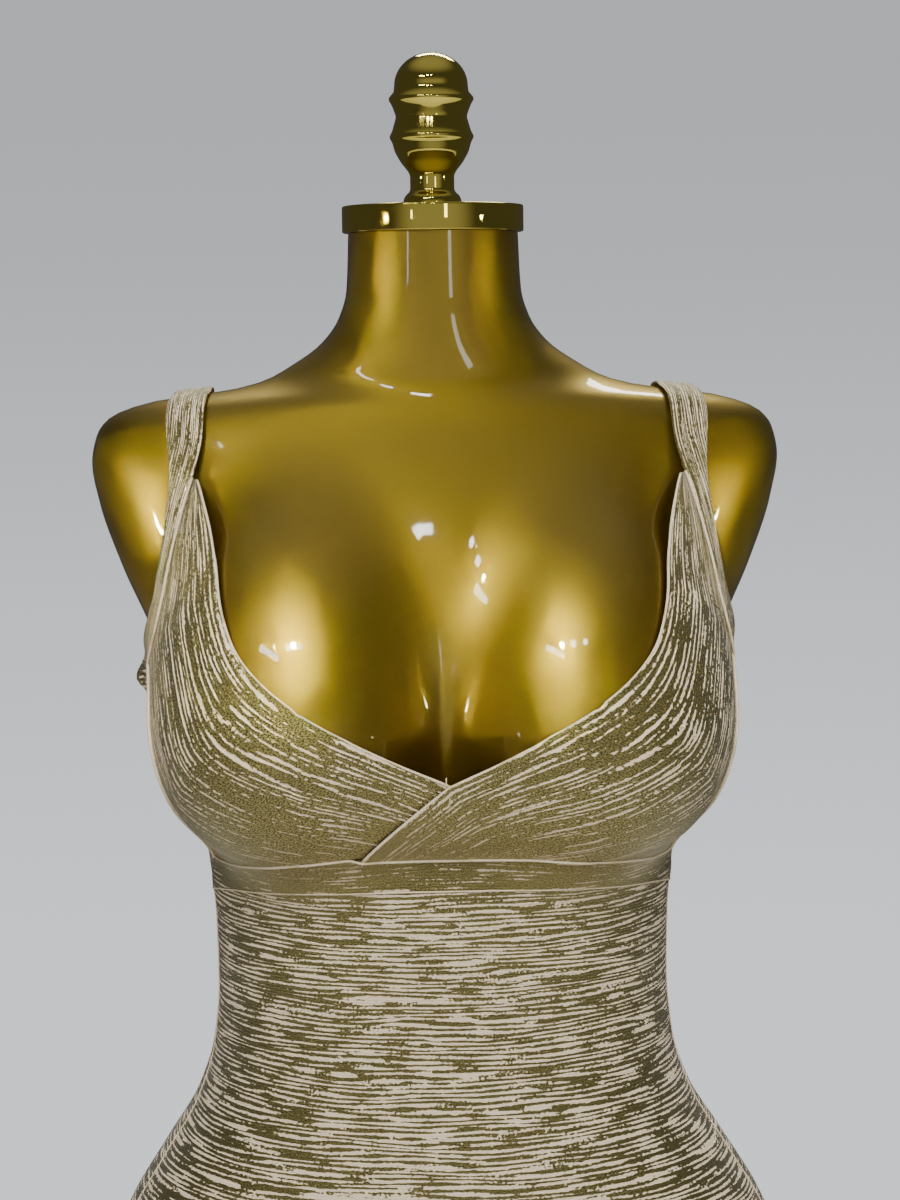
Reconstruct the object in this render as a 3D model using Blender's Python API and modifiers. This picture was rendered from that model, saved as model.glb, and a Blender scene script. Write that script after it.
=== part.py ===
"""Sleeveless bodycon dress with crossed cups, worn on a limbless dress form.

The form stands on a pole and a round base and carries a neck cap with a turned finial.
Metres, +Z up. The floor is at z = 0, the stand's axis is x = y = 0 and the front faces -Y.
Every cloth piece is a thin wall laid on one figure, whose sections are the FIGURE table below.
An angle is measured round the axis from the front, positive towards +X.
"""
import math
from bisect import bisect_right
from collections import namedtuple
from functools import lru_cache

import bmesh
import bpy
from mathutils import Vector

COLLECTION = "Bodycon dress on form"

# Driving sizes of the stand
BASE_RADIUS = 0.185
BASE_THICKNESS = 0.010
BOSS_NECK = 0.0225
BOSS_RADIUS = 0.032
BOSS_FOOT = 0.045
BOSS_TOP = 0.034
FILLET = 0.003
POLE_RADIUS = 0.014
SOCKET_BOTTOM = 0.650
SOCKET_RADIUS = 0.022
SOCKET_FLANGE = 0.045
SOCKET_FLANGE_THICKNESS = 0.008
FORM_BOTTOM = 0.700
FORM_TOP = 1.420
FORM_ROUND = 0.030
CAP_RADIUS = 0.0485
CAP_HEIGHT = 0.0142
CAP_RIM = 0.0012
FIT_GAP = 0.0003

# Driving sizes of the dress
HEM = 0.520
WALL = 0.0015
LIFT = 0.0014
SEAM_GAP = 0.0003
FOLD_GAP = 0.0008
CROSSING_LIFT = WALL + 0.0008
CROSSING_RAMP = (44.0, 26.0)
BAND_LIFT = 0.0007
FORM_EASE = 0.0012
SHAPED_TOP = 0.060

# One row for each section of the figure, bottom to top. Each is an oval about the stand's axis,
# with its own depth to the front and to the back.
Section = namedtuple("Section", "height width front back")
FIGURE = [Section(*row) for row in (
    (0.500, 0.1600, 0.0960, 0.1040),
    (0.600, 0.1690, 0.1010, 0.1120),
    (0.700, 0.1800, 0.1070, 0.1220),
    (0.790, 0.1890, 0.1120, 0.1330),
    (0.850, 0.1870, 0.1140, 0.1340),
    (0.887, 0.1730, 0.1120, 0.1270),
    (0.920, 0.1530, 0.1090, 0.1140),
    (0.953, 0.1330, 0.1035, 0.0980),
    (0.985, 0.1230, 0.0980, 0.0860),
    (1.020, 0.1200, 0.0940, 0.0810),
    (1.054, 0.1205, 0.0950, 0.0820),
    (1.085, 0.1235, 0.0985, 0.0860),
    (1.120, 0.1290, 0.1040, 0.0920),
    (1.160, 0.1380, 0.1080, 0.0980),
    (1.195, 0.1500, 0.1070, 0.1010),
    (1.2145, 0.1575, 0.1045, 0.1010),
    (1.2445, 0.1705, 0.0960, 0.0975),
    (1.2785, 0.1820, 0.0820, 0.0890),
    (1.300, 0.1857, 0.0710, 0.0790),
    (1.315, 0.1828, 0.0630, 0.0690),
    (1.324, 0.1757, 0.0585, 0.0630),
    (1.330, 0.1615, 0.0560, 0.0600),
    (1.3335, 0.1460, 0.0545, 0.0580),
    (1.336, 0.1240, 0.0535, 0.0565),
    (1.339, 0.1060, 0.0525, 0.0550),
    (1.343, 0.0920, 0.0515, 0.0540),
    (1.350, 0.0790, 0.0507, 0.0530),
    (1.362, 0.0620, 0.0500, 0.0520),
    (1.375, 0.0525, 0.0490, 0.0505),
    (1.390, 0.0480, 0.0475, 0.0480),
    (1.420, 0.0465, 0.0465, 0.0465),
)]
OVAL_POWER = 2.2

# The bust is a pair of swells, smooth and alike, whose upper part leans back to the chest
BUST_OUT = 0.0740
BUST_FORWARD = 0.0640
BUST_HEIGHT = 1.1690
BUST_HALF_WIDTH = 0.0758
BUST_DEPTH = 0.0860
BUST_LOWER = 0.0780
BUST_UPPER = 0.1250
BUST_LEAN = 0.22
BUST_REACH = 0.018

# A soft, shallow fold between the shoulder and the chest
FOLD_OUT = 0.122
FOLD_WIDTH = 0.020
FOLD_DEPTH = 0.006
FOLD_LOW = 1.190
FOLD_HIGH = 1.335

# The cloth spans the figure's hollows more softly, and taut from one side of the bust to the other
CLOTH_REACH = 0.026
BRIDGE_SAG = 0.010
BRIDGE_REACH = 0.004

# Edges of the pieces on the +X side. Rows are the angle from the front in degrees, and the height.
NECKLINE = (
    (64.4, 1.2926), (60.2, 1.2790), (54.3, 1.2620), (49.2, 1.2480), (43.4, 1.2280), (38.5, 1.2115),
    (33.2, 1.1980), (26.5, 1.1838), (18.0, 1.1690), (9.5, 1.1570), (0.0, 1.1465),
)
CROSSING = ((0.0, 1.1465), (-9.0, 1.1300), (-20.85, 1.1077))
STRAP_SEAM = (
    (65.2, 1.2936), (64.3, 1.2760), (63.6, 1.2540), (63.2, 1.2330), (63.9, 1.2190), (66.0, 1.2060),
    (68.5, 1.1975),
)
STRAP_OUTER = (
    (69.4, 1.2960), (67.8, 1.2785), (66.9, 1.2560), (67.4, 1.2350), (70.4, 1.2215), (76.0, 1.2105),
    (82.0, 1.2045),
)
SIDE_SEAM = (
    (68.5, 1.1975), (63.2, 1.1860), (60.6, 1.1740), (59.0, 1.1590), (58.8, 1.1430), (60.0, 1.1280),
    (62.5, 1.1150), (66.0, 1.1045), (69.5, 1.0950),
)
BAND_END = ((69.5, 1.0950), (75.0, 1.0875), (80.0, 1.0790), (83.0, 1.0700))
UNDER_SEAM = (
    (0.0, 1.1068), (10.0, 1.1072), (20.85, 1.1077), (28.0, 1.1068), (37.0, 1.1042), (47.0, 1.1010),
    (58.0, 1.0978), (69.5, 1.0950),
)
BAND_LINE = ((0.0, 1.0852), (35.0, 1.0845), (60.0, 1.0790), (83.0, 1.0700))
BACK_EDGE = (
    (68.5, 1.1975), (82.0, 1.2037), (92.0, 1.2080), (102.0, 1.2140), (112.0, 1.2250),
    (121.0, 1.2400), (135.0, 1.2440), (150.0, 1.2330), (165.0, 1.2265), (180.0, 1.2250),
)

# Over the shoulder the strap's two edges are given as points, front to back
Strap = namedtuple("Strap", "inner_x inner_y inner_z outer_x outer_y outer_z")
STRAP_OVER = [Strap(*row) for row in (
    (0.1212, -0.0495, 1.3130, 0.1389, -0.0425, 1.3130),
    (0.1191, -0.0345, 1.3290, 0.1387, -0.0290, 1.3280),
    (0.1188, -0.0150, 1.3360, 0.1387, -0.0130, 1.3335),
    (0.1188, 0.0080, 1.3360, 0.1387, 0.0080, 1.3335),
    (0.1182, 0.0280, 1.3300, 0.1382, 0.0280, 1.3270),
    (0.1165, 0.0460, 1.3130, 0.1365, 0.0450, 1.3090),
    (0.1125, 0.0640, 1.2880, 0.1325, 0.0600, 1.2850),
    (0.1060, 0.0770, 1.2650, 0.1260, 0.0690, 1.2620),
    (0.0975, 0.0880, 1.2446, 0.1180, 0.0750, 1.2416),
)]
SHOULDER_HEART = Vector((0.090, 0.0, 1.240))

# Height above the neck cap and radius of the finial, from its foot to its dome
FINIAL = (
    (0.0, 0.0159), (0.0045, 0.0150), (0.0074, 0.0118), (0.0158, 0.0118), (0.0180, 0.0130),
    (0.0228, 0.0168), (0.0282, 0.0198), (0.0330, 0.0210), (0.0359, 0.0228), (0.0385, 0.0212),
    (0.0466, 0.0188), (0.0530, 0.0212), (0.0558, 0.0231), (0.0595, 0.0200), (0.0628, 0.0196),
)
FINIAL_HEIGHT = 0.0801

# How finely the surfaces are divided. The back's columns crowd towards its sides. Along their seam
# the cups' 13 rows and the band's 20 columns share their points, one for each 6.95 degrees.
FORM_COLUMNS = 46
FORM_RINGS = (11, 6, 18)
FOLD_HEIGHTS = (1.074, 1.116)
CORNER_STEPS = 4
DOME_STEPS = 5
TURNED_STEPS = 30
FRONT_COLUMNS = 20
FRONT_ROWS = 21
BAND_COLUMNS = 20
BAND_ROWS = 2
BACK_COLUMNS = 31
SIDE_CROWDING = 0.4
BODY_ROWS = 21
CUP_COLUMNS = 8
STRAP_SEAM_ROWS = 8
SIDE_SEAM_ROWS = 8
UNDER_SEAM_ROWS = 13
CUP_ROWS = STRAP_SEAM_ROWS + SIDE_SEAM_ROWS + UNDER_SEAM_ROWS
CROSSING_ROWS = 5
STRAP_COLUMNS = 2
STRAP_OVER_ROWS = 22
PATH_STEP = 0.01
NORMAL_STEP = 0.003
SEARCH_STEPS = 24
OUTLINE_SAMPLES = 300
SHARP_ANGLE = math.radians(50)


def smooth_curve(places, values):
    """A cubic through the values that never swings past them, as a function of the place."""
    gaps = [end - start for start, end in zip(places, places[1:])]
    steps = [(values[i + 1] - values[i]) / gap for i, gap in enumerate(gaps)]
    slopes = [steps[0]]
    for i in range(1, len(steps)):
        before, after = steps[i - 1], steps[i]
        if before * after > 0:
            weight = (2 * gaps[i] + gaps[i - 1]) / before + (gaps[i] + 2 * gaps[i - 1]) / after
            slopes.append(3 * (gaps[i] + gaps[i - 1]) / weight)
        else:
            slopes.append(0.0)
    slopes.append(steps[-1])

    def value(place):
        place = min(max(place, places[0]), places[-1])
        i = min(bisect_right(places, place) - 1, len(gaps) - 1)
        t = (place - places[i]) / gaps[i]
        rise = t * t * (3 - 2 * t)
        leave = t * (1 - t) ** 2 * gaps[i] * slopes[i]
        arrive = t * t * (t - 1) * gaps[i] * slopes[i + 1]
        return values[i] + rise * (values[i + 1] - values[i]) + leave + arrive

    return value


def by_place(table):
    """The rows (place, value) of a table as a smooth function of the place."""
    rows = sorted(table)
    return smooth_curve([row[0] for row in rows], [row[1] for row in rows])


def by_row(table):
    """The rows of a table as a smooth path: a function of 0 to 1 that gives a tuple."""
    places = [i / (len(table) - 1) for i in range(len(table))]
    curves = [smooth_curve(places, [row[k] for row in table]) for k in range(len(table[0]))]
    return lambda t: tuple(curve(t) for curve in curves)


def mix(start, end, share):
    return start + (end - start) * share


def ease(start, end, value):
    """0 at start, 1 at end and level at both."""
    t = min(max((value - start) / (end - start), 0.0), 1.0)
    return t * t * (3 - 2 * t)


FIGURE_AT = {
    name: smooth_curve([row.height for row in FIGURE], [getattr(row, name) for row in FIGURE])
    for name in Section._fields[1:]
}
SIDE_ANGLE = BAND_END[-1][0]
side_seam_spot = by_row(SIDE_SEAM)
band_end_spot = by_row(BAND_END)
under_height = by_place(UNDER_SEAM)
band_height = by_place(BAND_LINE)
back_height = by_place(BACK_EDGE)
neckline_spot = by_row(NECKLINE)
crossing_spot = by_row(CROSSING)
strap_seam_spot = by_row(STRAP_SEAM)
strap_outer_spot = by_row(STRAP_OUTER)


# The figure

def soft_min(first, second, reach):
    """The smaller of two distances, with the hollow between their surfaces rounded."""
    overlap = max(reach - abs(first - second), 0.0) / reach
    return min(first, second) - overlap * overlap * reach / 4


@lru_cache(maxsize=None)
def trunk_radius(angle, height):
    """Distance from the axis to the plain oval trunk."""
    depth = FIGURE_AT["front"](height) if math.cos(angle) > 0 else FIGURE_AT["back"](height)
    across = abs(math.sin(angle)) / FIGURE_AT["width"](height)
    along = abs(math.cos(angle)) / depth
    return (across ** OVAL_POWER + along ** OVAL_POWER) ** (-1 / OVAL_POWER)


def bust_gap(out, forward, height):
    """Signed distance to the nearer swell of the bust, from a point this far out and forward."""
    above = max(height - BUST_HEIGHT, 0.0)
    rise = (height - BUST_HEIGHT) / (BUST_UPPER if above else BUST_LOWER)
    across = (out - BUST_OUT) / BUST_HALF_WIDTH
    along = (forward - BUST_FORWARD + BUST_LEAN * above) / BUST_DEPTH
    return (math.sqrt(across ** 2 + along ** 2 + rise ** 2) - 1) * BUST_HALF_WIDTH


def fold_depth(out, forward, height):
    """How deep the fold between the shoulder and the chest is at a point of the front."""
    if forward <= 0 or not FOLD_LOW < height < FOLD_HIGH:
        return 0.0
    window = math.sin(math.pi * (height - FOLD_LOW) / (FOLD_HIGH - FOLD_LOW)) ** 2
    return FOLD_DEPTH * window * math.exp(-((out - FOLD_OUT) / FOLD_WIDTH) ** 2)


def figure_gap(angle, height, radius):
    """Signed distance from a point to the form's own surface."""
    out = radius * abs(math.sin(angle))
    forward = radius * math.cos(angle)
    trunk = radius - trunk_radius(angle, height) + fold_depth(out, forward, height)
    return soft_min(trunk, bust_gap(out, forward, height), BUST_REACH)


def cloth_gap(angle, height, radius):
    """Signed distance from a point to the surface that the cloth is lifted from."""
    out = radius * abs(math.sin(angle))
    forward = radius * math.cos(angle)
    trunk = radius - trunk_radius(angle, height)
    gap = soft_min(trunk, bust_gap(out, forward, height), CLOTH_REACH)
    above = max(height - BUST_HEIGHT, 0.0)
    rise = (height - BUST_HEIGHT) / (BUST_UPPER if above else BUST_LOWER)
    if forward <= 0 or out >= BUST_OUT or abs(rise) >= 1:
        return gap
    front = BUST_FORWARD - BUST_LEAN * above + BUST_DEPTH * math.sqrt(1 - rise * rise)
    sag = BRIDGE_SAG * (1 - (out / BUST_OUT) ** 2) ** 2
    return soft_min(gap, forward - front + sag, BRIDGE_REACH)


def surface_point(gap_at, angle, height):
    """The point where a ray from the axis leaves a surface."""
    near, far = 0.0, 2 * FIGURE_AT["width"](height)
    for halving in range(SEARCH_STEPS):
        middle = (near + far) / 2
        if gap_at(angle, height, middle) < 0:
            near = middle
        else:
            far = middle
    return Vector((near * math.sin(angle), -near * math.cos(angle), height))


def cloth_gap_at(point):
    return cloth_gap(math.atan2(point.x, -point.y), point.z, math.hypot(point.x, point.y))


def lifted(point, lift):
    """A point of the cloth's surface, moved out along the surface's normal."""
    steps = [Vector([NORMAL_STEP * (k == axis) for k in range(3)]) for axis in range(3)]
    slope = Vector([cloth_gap_at(point + step) - cloth_gap_at(point - step) for step in steps])
    return point + lift * slope.normalized()


def cloth_point(degrees, height, lift):
    return lifted(surface_point(cloth_gap, math.radians(degrees), height), lift)


def beside(path, t):
    """The spot a seam's gap to the outer side of a path of (degrees, height) spots."""
    start, spot, end = path(max(t - PATH_STEP, 0.0)), path(t), path(min(t + PATH_STEP, 1.0))
    radius = surface_point(cloth_gap, math.radians(spot[0]), spot[1]).xy.length
    down = Vector((math.radians(end[0] - start[0]) * radius, end[1] - start[1])).normalized()
    return spot[0] - math.degrees(SEAM_GAP * down.y / radius), spot[1] + SEAM_GAP * down.x


def settle(aim, lift):
    """A point on the ray from the shoulder's heart through aim, laid on the cloth's surface."""
    ray = (aim - SHOULDER_HEART).normalized()
    near, far = 0.0, FIGURE_AT["width"](SHOULDER_HEART.z)
    for halving in range(SEARCH_STEPS):
        middle = (near + far) / 2
        if cloth_gap_at(SHOULDER_HEART + ray * middle) < 0:
            near = middle
        else:
            far = middle
    return lifted(SHOULDER_HEART + ray * near, lift)


def even_heights(low, high, count):
    """Heights that share out the length of the figure's side and bust outlines evenly."""
    heights = [mix(low, high, i / OUTLINE_SAMPLES) for i in range(OUTLINE_SAMPLES + 1)]
    bust_angle = math.atan2(BUST_OUT, BUST_FORWARD + BUST_DEPTH)
    last = surface_point(figure_gap, bust_angle, low).xy.length
    lengths = [0.0]
    for start, end in zip(heights, heights[1:]):
        side = FIGURE_AT["width"](end) - FIGURE_AT["width"](start)
        reach = surface_point(figure_gap, bust_angle, end).xy.length
        lengths.append(lengths[-1] + math.sqrt((end - start) ** 2 + side ** 2 + (reach - last) ** 2))
        last = reach
    height_at = smooth_curve(lengths, heights)
    return [height_at(lengths[-1] * i / count) for i in range(count + 1)]


# Materials and objects

def clear_scene():
    for item in list(bpy.data.objects):
        bpy.data.objects.remove(item, do_unlink=True)


def make_material(name, color, metallic, roughness, coat=0.0):
    material = bpy.data.materials.new(name)
    material.use_nodes = True
    shader = material.node_tree.nodes["Principled BSDF"]
    shader.inputs["Base Color"].default_value = (*color, 1.0)
    shader.inputs["Metallic"].default_value = metallic
    shader.inputs["Roughness"].default_value = roughness
    shader.inputs["Coat Weight"].default_value = coat
    return material


def knit_material(piece):
    return make_material(piece + " foiled knit", (0.40, 0.34, 0.19), 0.45, 0.50)


def lacquer_material():
    return make_material("gold lacquer", (0.45, 0.30, 0.06), 0.85, 0.22, coat=1.0)


def plated_material(piece):
    return make_material(piece + " gold plating", (0.83, 0.62, 0.20), 1.0, 0.12)


def add_object(name, shape, material):
    """Put a finished bmesh into the collection as one smooth-shaded object."""
    bmesh.ops.recalc_face_normals(shape, faces=shape.faces)
    if shape.calc_volume(signed=True) < 0:
        bmesh.ops.reverse_faces(shape, faces=shape.faces)
    mesh = bpy.data.meshes.new(name)
    shape.to_mesh(mesh)
    shape.free()
    mesh.materials.append(material)
    mesh.shade_smooth()
    mesh.set_sharp_from_angle(angle=SHARP_ANGLE)
    item = bpy.data.objects.new(name, mesh)
    bpy.data.collections[COLLECTION].objects.link(item)
    return item


def add_panel(name, columns, rows, place):
    """A wall of cloth made from a grid. place(across, along, lift) gives each of its points."""
    shape = bmesh.new()
    bmesh.ops.create_grid(shape, x_segments=columns, y_segments=rows, size=0.5)
    extruded = bmesh.ops.extrude_face_region(shape, geom=list(shape.faces), use_keep_orig=True)
    for part in extruded["geom"]:
        if isinstance(part, bmesh.types.BMVert):
            part.co.z = WALL
    for vertex in shape.verts:
        across, along, depth = vertex.co
        vertex.co = place(across + 0.5, along + 0.5, LIFT + depth)
    return add_object(name, shape, knit_material(name))


def add_turned(name, profile, material):
    """A solid turned from rows of (radius, height), which run from the top to the bottom."""
    shape = bmesh.new()
    points = [shape.verts.new((radius, 0.0, height)) for radius, height in profile]
    for start, end in zip(points, points[1:]):
        shape.edges.new((start, end))
    mesh = bpy.data.meshes.new(name)
    shape.to_mesh(mesh)
    shape.free()
    mesh.materials.append(material)
    item = bpy.data.objects.new(name, mesh)
    bpy.data.collections[COLLECTION].objects.link(item)
    screw = item.modifiers.new("Turn", "SCREW")
    screw.steps = TURNED_STEPS
    screw.render_steps = TURNED_STEPS
    screw.use_merge_vertices = True
    screw.merge_threshold = 0.00001
    screw.use_smooth_shade = True
    return item


def mirrored(point, side):
    """The same point on the +X side (side 1) or on the -X side (side -1)."""
    return Vector((side * point.x, point.y, point.z))


# The dress

def make_front_body():
    """The front below the band: one panel from side seam to side seam, down to the hem."""
    top = BAND_LINE[0][1]
    heights = even_heights(HEM, top, FRONT_ROWS)

    def place(across, along, lift):
        degrees = mix(-SIDE_ANGLE, SIDE_ANGLE, across)
        height = heights[round(along * FRONT_ROWS)]
        shaping = ease(top - SHAPED_TOP, top, height)
        height += shaping * (band_height(abs(degrees)) - SEAM_GAP - top)
        return cloth_point(degrees, height, lift)

    return add_panel("front_body", FRONT_COLUMNS, FRONT_ROWS, place)


def make_underbust_band():
    """The narrow band between the front body and the cups."""

    def place(across, along, lift):
        end, level = band_end_spot(1 - along)
        degrees = mix(-end, end, across)
        top = under_height(abs(degrees)) - FOLD_GAP
        return cloth_point(degrees, mix(band_height(abs(degrees)), top, along), lift + BAND_LIFT)

    return add_panel("underbust_band", BAND_COLUMNS, BAND_ROWS, place)


def make_back_body():
    """The back: one panel that wraps forward to the side seams and up to the cups and straps."""
    low_corner, high_corner = BAND_END[-1][1], BACK_EDGE[0][1]
    seam = SIDE_ANGLE + math.degrees(SEAM_GAP / FIGURE_AT["width"](low_corner))
    spots = [(seam, height) for height in even_heights(HEM, low_corner, BODY_ROWS)[:-1]]
    spots += [beside(band_end_spot, 1 - row / BAND_ROWS) for row in range(BAND_ROWS)]
    spots += [beside(side_seam_spot, 1 - row / SIDE_SEAM_ROWS) for row in range(SIDE_SEAM_ROWS + 1)]

    def place(across, along, lift):
        edge, level = spots[round(along * (len(spots) - 1))]
        turn = 2 * math.pi * across
        degrees = mix(edge, 360 - edge, (turn - SIDE_CROWDING * math.sin(turn)) / (2 * math.pi))
        share = max(level - low_corner, 0.0) / (high_corner - low_corner)
        rise = back_height(min(degrees, 360 - degrees)) - high_corner
        return cloth_point(degrees, level + rise * share, lift)

    return add_panel("back_body", BACK_COLUMNS, len(spots) - 1, place)


def cup_outer_spot(row):
    """Angle and height of the cup's seam with the strap, the side and the band, down its rows."""
    if row <= STRAP_SEAM_ROWS:
        return strap_seam_spot(row / STRAP_SEAM_ROWS)
    row -= STRAP_SEAM_ROWS
    if row <= SIDE_SEAM_ROWS:
        return side_seam_spot(row / SIDE_SEAM_ROWS)
    degrees = mix(SIDE_SEAM[-1][0], CROSSING[-1][0], (row - SIDE_SEAM_ROWS) / UNDER_SEAM_ROWS)
    return degrees, under_height(abs(degrees))


def cup_inner_spot(row):
    """Angle and height of the cup's neckline and, past its low point, of its crossing edge."""
    neckline_rows = CUP_ROWS - CROSSING_ROWS
    if row <= neckline_rows:
        return neckline_spot(row / neckline_rows)
    return crossing_spot((row - neckline_rows) / CROSSING_ROWS)


def make_cup(name, side, crossing_lift):
    """One cup, from the strap's foot to past the centre. The upper one of the two is lifted."""

    def place(across, along, lift):
        row = round(along * CUP_ROWS)
        inner, outer = cup_inner_spot(row), cup_outer_spot(row)
        degrees = mix(inner[0], outer[0], across)
        height = mix(inner[1], outer[1], across)
        lift += crossing_lift * ease(*CROSSING_RAMP, degrees)
        return mirrored(cloth_point(degrees, height, lift), side)

    return add_panel(name, CUP_COLUMNS, CUP_ROWS, place)


def strap_stations():
    """The strap's inner and outer edges, from the underarm up the cup and over to the back."""
    stations = []
    for row in range(STRAP_SEAM_ROWS + 1):
        t = 1 - row / STRAP_SEAM_ROWS
        inner, outer = beside(strap_seam_spot, t), strap_outer_spot(t)
        stations.append((*cloth_point(*inner, 0.0), *cloth_point(*outer, 0.0)))
    return stations + STRAP_OVER


def make_strap(name, side):
    """A strap, from the underarm up the cup's outer side and over the shoulder to the back."""
    edges = by_row(strap_stations())
    last = STRAP_SEAM_ROWS + len(STRAP_OVER)

    def place(across, along, lift):
        row = along * (STRAP_SEAM_ROWS + STRAP_OVER_ROWS)
        station = row
        if row > STRAP_SEAM_ROWS:
            station = mix(STRAP_SEAM_ROWS, last, (row - STRAP_SEAM_ROWS) / STRAP_OVER_ROWS)
        edge = edges(station / last)
        aim = Vector(edge[:3]).lerp(Vector(edge[3:]), across)
        return mirrored(settle(aim, lift + BAND_LIFT), side)

    return add_panel(name, STRAP_COLUMNS, STRAP_SEAM_ROWS + STRAP_OVER_ROWS, place)


# The form and its stand

def form_sections():
    """Heights of the form's rings, bottom to top, each with how far it is drawn in."""
    corner = []
    for step in range(CORNER_STEPS):
        turn = math.pi / 2 * step / CORNER_STEPS
        corner.append((FORM_BOTTOM + FORM_ROUND * (1 - math.cos(turn)), FORM_ROUND * (1 - math.sin(turn))))
    stops = (FORM_BOTTOM + FORM_ROUND, *FOLD_HEIGHTS, FORM_TOP)
    heights = []
    for low, high, count in zip(stops, stops[1:], FORM_RINGS):
        heights += even_heights(low, high, count)[:-1]
    return corner + [(height, 0.0) for height in heights + [FORM_TOP]]


def make_form():
    """The smooth, closed dress form, a little slimmer than the figure so that it clears the cloth."""
    sections = form_sections()
    rings = len(sections) + 1
    shape = bmesh.new()
    bmesh.ops.create_uvsphere(shape, u_segments=FORM_COLUMNS, v_segments=rings, radius=1.0)
    for vertex in shape.verts:
        ring = round(rings * math.acos(-max(min(vertex.co.z, 1.0), -1.0)) / math.pi)
        if ring in (0, rings):
            vertex.co = (0.0, 0.0, sections[0][0] if ring == 0 else sections[-1][0])
            continue
        height, drawn_in = sections[ring - 1]
        angle = math.atan2(vertex.co.x, -vertex.co.y)
        point = surface_point(figure_gap, angle, height)
        point.xy *= 1 - (drawn_in + FORM_EASE) / point.xy.length
        vertex.co = point
    return add_object("form_torso", shape, lacquer_material())


def make_neck_cap():
    """The round cap on the neck, with small rounded rims."""
    low = FORM_TOP + FIT_GAP
    high = low + CAP_HEIGHT
    profile = (
        (0.0, high), (CAP_RADIUS - CAP_RIM, high), (CAP_RADIUS, high - CAP_RIM),
        (CAP_RADIUS, low + CAP_RIM), (CAP_RADIUS - CAP_RIM, low), (0.0, low),
    )
    return add_turned("neck_cap", profile, plated_material("neck_cap"))


def make_finial():
    """The turned finial: a waisted foot, two ridged rings and a dome."""
    foot = FORM_TOP + CAP_HEIGHT + 2 * FIT_GAP
    dome_foot, dome_radius = FINIAL[-1]
    profile = [(0.0, foot + FINIAL_HEIGHT)]
    for step in range(1, DOME_STEPS):
        turn = math.pi / 2 * step / DOME_STEPS
        rise = (FINIAL_HEIGHT - dome_foot) * math.cos(turn)
        profile.append((dome_radius * math.sin(turn), foot + dome_foot + rise))
    profile += [(radius, foot + height) for height, radius in reversed(FINIAL)]
    profile.append((0.0, foot))
    return add_turned("finial", profile, plated_material("finial"))


def make_form_socket():
    """The flanged socket under the form that the pole enters."""
    top = FORM_BOTTOM - FIT_GAP
    under = top - SOCKET_FLANGE_THICKNESS
    profile = (
        (0.0, top), (SOCKET_FLANGE, top), (SOCKET_FLANGE, under),
        (SOCKET_RADIUS, under), (SOCKET_RADIUS, SOCKET_BOTTOM), (0.0, SOCKET_BOTTOM),
    )
    return add_turned("form_socket", profile, plated_material("form_socket"))


def make_pole():
    """The straight pole between the base's boss and the socket."""
    low = BOSS_TOP + FIT_GAP
    high = SOCKET_BOTTOM - FIT_GAP
    shape = bmesh.new()
    bmesh.ops.create_cone(
        shape, cap_ends=True, segments=TURNED_STEPS,
        radius1=POLE_RADIUS, radius2=POLE_RADIUS, depth=high - low,
    )
    bmesh.ops.translate(shape, verts=shape.verts, vec=(0.0, 0.0, (low + high) / 2))
    return add_object("pole", shape, plated_material("pole"))


def make_base_plate():
    """The heavy round base with a rounded rim, a low dome and a boss for the pole."""
    rim = BASE_THICKNESS / 2
    dome = BASE_THICKNESS + rim
    profile = [
        (0.0, BOSS_TOP), (BOSS_NECK - FILLET, BOSS_TOP), (BOSS_NECK, BOSS_TOP - FILLET),
        (BOSS_RADIUS, dome + rim), (BOSS_RADIUS + FILLET, dome + FILLET), (BOSS_FOOT, dome),
    ]
    for step in range(CORNER_STEPS + 1):
        turn = math.pi / CORNER_STEPS * step
        profile.append((BASE_RADIUS - rim * (1 - math.sin(turn)), rim * (1 + math.cos(turn))))
    profile.append((0.0, 0.0))
    return add_turned("base_plate", profile, plated_material("base_plate"))


def main():
    clear_scene()
    parts = bpy.data.collections.new(COLLECTION)
    bpy.context.scene.collection.children.link(parts)
    make_front_body()
    make_back_body()
    make_underbust_band()
    make_cup("cup_left", 1, CROSSING_LIFT)
    make_cup("cup_right", -1, 0.0)
    make_strap("strap_left", 1)
    make_strap("strap_right", -1)
    make_form()
    make_neck_cap()
    make_finial()
    make_form_socket()
    make_pole()
    make_base_plate()


if __name__ == "__main__":
    main()
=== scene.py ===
"""Dresses the packed bodycon dress and the display form that wears it.

Laid out as an add-on: each operator makes one piece, or one group of like pieces, in metres and in
the packed part's frame. The front faces -Y and +Z is up. An angle is measured round the stand's
axis from the front, positive towards +X, in degrees.
"""
import math
from collections import namedtuple

import bmesh
import bpy
import numpy as np
from mathutils import Matrix, Vector


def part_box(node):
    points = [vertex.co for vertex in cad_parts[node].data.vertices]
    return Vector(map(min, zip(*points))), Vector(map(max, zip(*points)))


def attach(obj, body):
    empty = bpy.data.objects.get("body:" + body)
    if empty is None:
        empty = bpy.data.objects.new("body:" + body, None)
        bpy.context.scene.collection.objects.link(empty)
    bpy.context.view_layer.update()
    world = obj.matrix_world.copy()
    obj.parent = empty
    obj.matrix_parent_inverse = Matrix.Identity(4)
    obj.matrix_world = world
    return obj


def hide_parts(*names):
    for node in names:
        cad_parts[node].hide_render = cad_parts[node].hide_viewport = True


bl_info = {
    "name": "Foiled knit dress on a display form",
    "version": (1, 0, 0),
    "blender": (4, 5, 0),
    "location": "View3D > Sidebar > Dress",
    "description": "Makes a foiled stretch knit dress, its seams, and the lacquered form that wears it",
    "category": "Object",
}

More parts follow.
